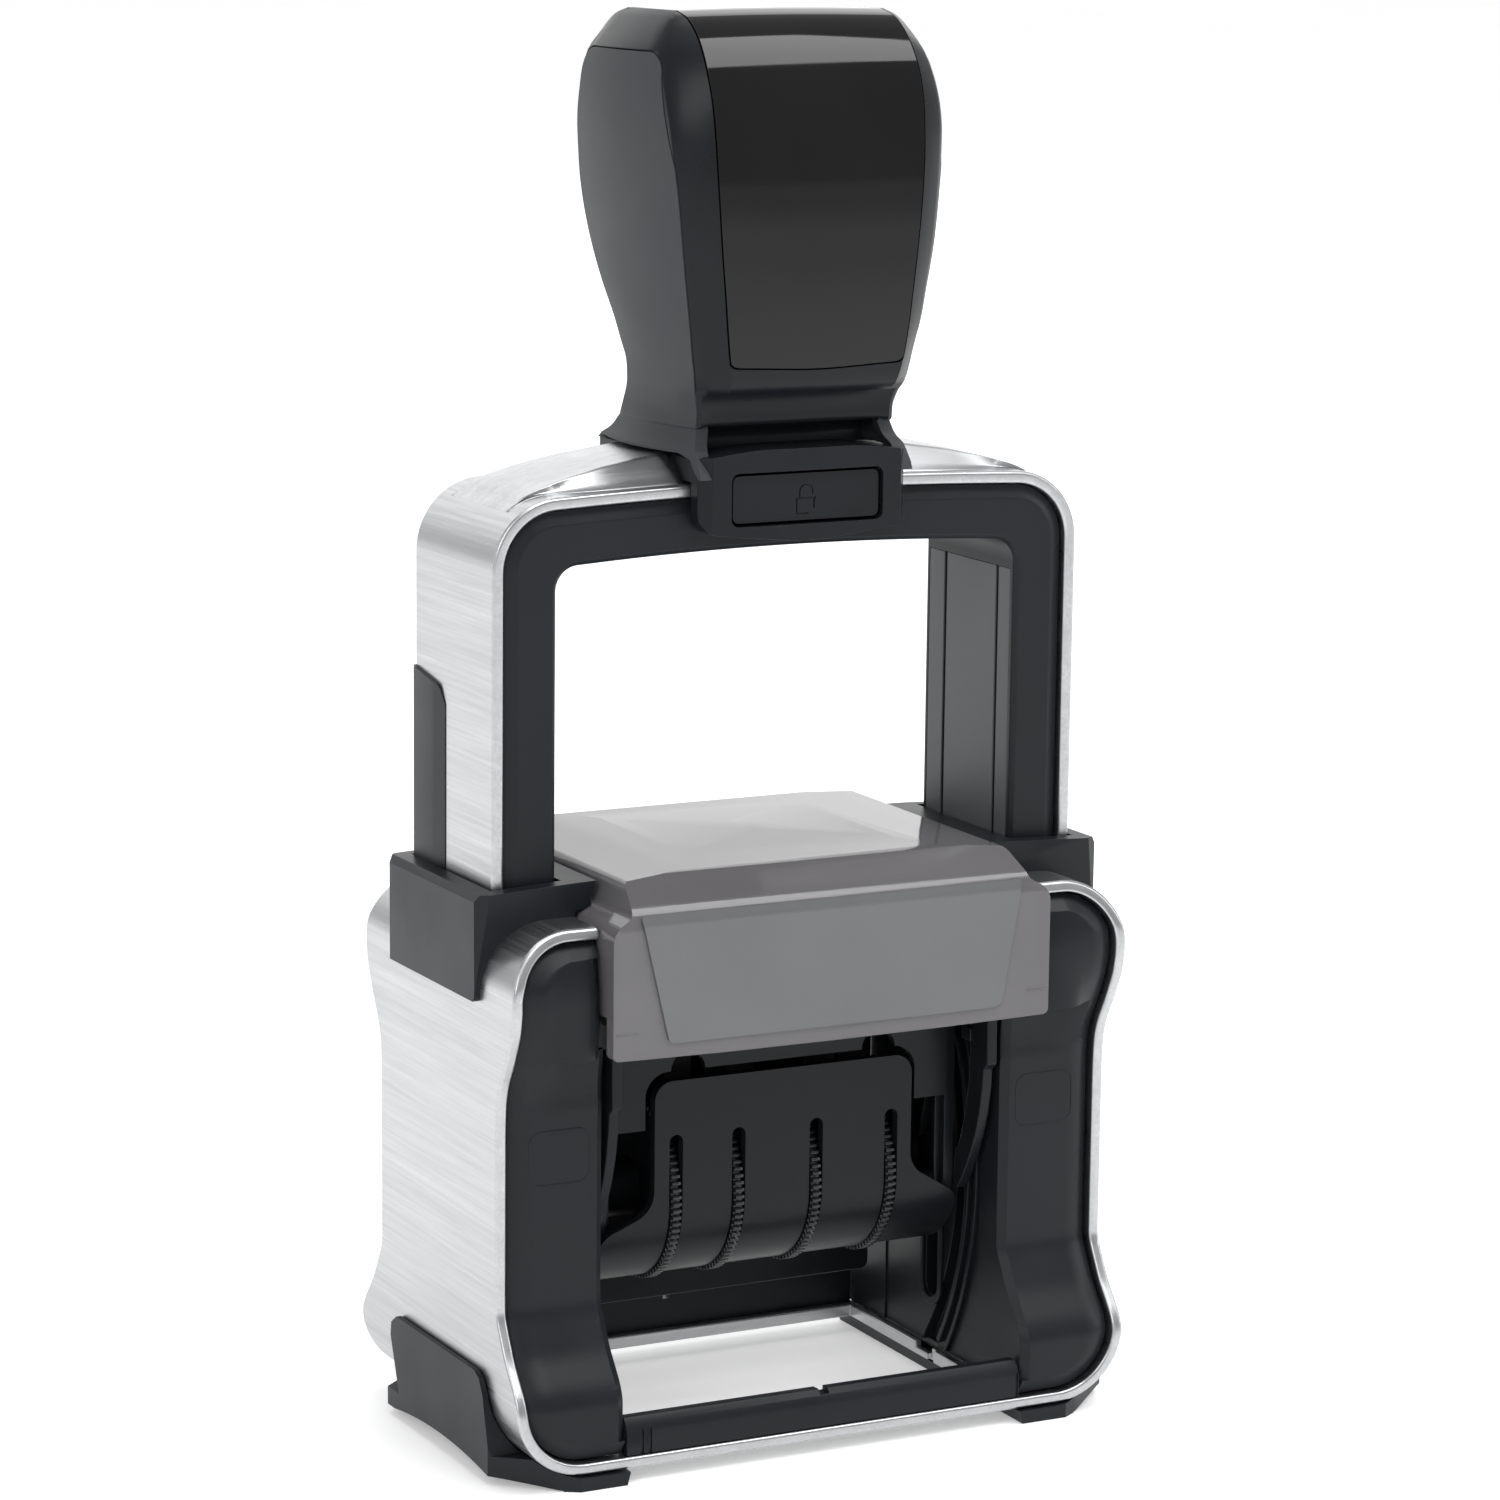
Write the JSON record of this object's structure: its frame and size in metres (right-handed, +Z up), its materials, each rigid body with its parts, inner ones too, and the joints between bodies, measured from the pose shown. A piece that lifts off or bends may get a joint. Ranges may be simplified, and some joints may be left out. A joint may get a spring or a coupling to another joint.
{
  "type": "rotary date stamp",
  "caption": "Self-inking rotary date stamp: steel base and sliding frame with a grip; pressing the handle flips a rotor with date wheels from the ink pad to the paper.",
  "frame": {"origin": "centre of the bounding box's bottom face, on the plane the feet stand on", "axes": "+Z up along the press direction (handle up), +Y to the back, +X to the right seen from the front"},
  "size_m": [0.0786, 0.044, 0.1603],
  "materials": {
    "steel": "satin brushed",
    "black_plastic": "satin moulded",
    "soft_touch": "matte soft touch",
    "satin_black": "satin",
    "gloss_black": "high gloss",
    "smoke": "translucent smoke, glossy",
    "die_rubber": "matte",
    "ink_felt": "ink-soaked felt",
    "card": "matt printed card",
    "spring_steel": "bright drawn wire"
  },
  "bodies": {
    "base": {"base_steel_band": "steel", "side_housing_left": "black_plastic", "side_housing_right": "black_plastic", "front_sill": "black_plastic", "rear_sill": "black_plastic", "foot_left": "black_plastic", "foot_right": "black_plastic", "cap_left": "black_plastic", "cap_right": "black_plastic", "return_spring_left": "spring_steel", "return_spring_right": "spring_steel"},
    "handle": {"frame_steel_band": "steel", "frame_bow": "black_plastic", "leg_strip_left": "black_plastic", "leg_strip_right": "black_plastic", "crown_ridge_left": "steel", "crown_ridge_right": "steel", "axle_pin_left": "spring_steel", "axle_pin_right": "spring_steel", "grip_collar": "satin_black", "grip_neck": "satin_black", "grip_housing": "satin_black", "grip_panel": "gloss_black", "grip_side_left": "soft_touch", "grip_side_right": "soft_touch"},
    "lock_button": {"lock_button": "black_plastic"},
    "rotor": {"rotor_frame": "black_plastic", "rotor_arm_left": "black_plastic", "rotor_arm_right": "black_plastic", "wheel_guard": "black_plastic", "band_anvil": "black_plastic", "wheel_shaft": "spring_steel", "die_rubber": "die_rubber", "date_band_1": "die_rubber", "date_band_2": "die_rubber", "date_band_3": "die_rubber", "date_band_4": "die_rubber"},
    "date_wheel_1": {"date_wheel_1": "black_plastic"},
    "date_wheel_2": {"date_wheel_2": "black_plastic"},
    "date_wheel_3": {"date_wheel_3": "black_plastic"},
    "date_wheel_4": {"date_wheel_4": "black_plastic"},
    "ink_cassette": {"cassette_hood": "smoke", "index_card": "card", "pad_tray": "black_plastic", "ink_pad": "ink_felt"}
  },
  "joints": [
    {"name": "handle_press", "type": "slide", "parent": "base", "child": "handle", "axis": [0, 0, -1], "range_m": [0, 0.031], "stiffness_N_per_m": 400, "springref_m": -0.01, "deforming": ["return_spring_left", "return_spring_right"]},
    {"name": "lock_press", "type": "slide", "parent": "handle", "child": "lock_button", "axis": [0, 1, 0], "range_m": [0, 0.0012], "stiffness_N_per_m": 200, "springref_m": -0.0005},
    {"name": "rotor_flip", "type": "hinge", "parent": "handle", "child": "rotor", "pos_m": [0, 0, 0.0418], "axis": [1, 0, 0], "range_deg": [0, 180]},
    {"name": "cassette_slide", "type": "slide", "parent": "base", "child": "ink_cassette", "axis": [0, -1, 0], "range_m": [0, 0.042]},
    {"name": "date_wheel_1_turn", "type": "hinge", "parent": "rotor", "child": "date_wheel_1", "pos_m": [-0.0137, 0, 0.0275], "axis": [1, 0, 0], "continuous": true},
    {"name": "date_wheel_2_turn", "type": "hinge", "parent": "rotor", "child": "date_wheel_2", "pos_m": [-0.0058, 0, 0.0275], "axis": [1, 0, 0], "continuous": true},
    {"name": "date_wheel_3_turn", "type": "hinge", "parent": "rotor", "child": "date_wheel_3", "pos_m": [0.0041, 0, 0.0275], "axis": [1, 0, 0], "continuous": true},
    {"name": "date_wheel_4_turn", "type": "hinge", "parent": "rotor", "child": "date_wheel_4", "pos_m": [0.0138, 0, 0.0275], "axis": [1, 0, 0], "continuous": true}
  ],
  "couplings": [
    {"joint": "rotor_flip", "follows": "handle_press", "rad_per_m": 101.34}
  ]
}
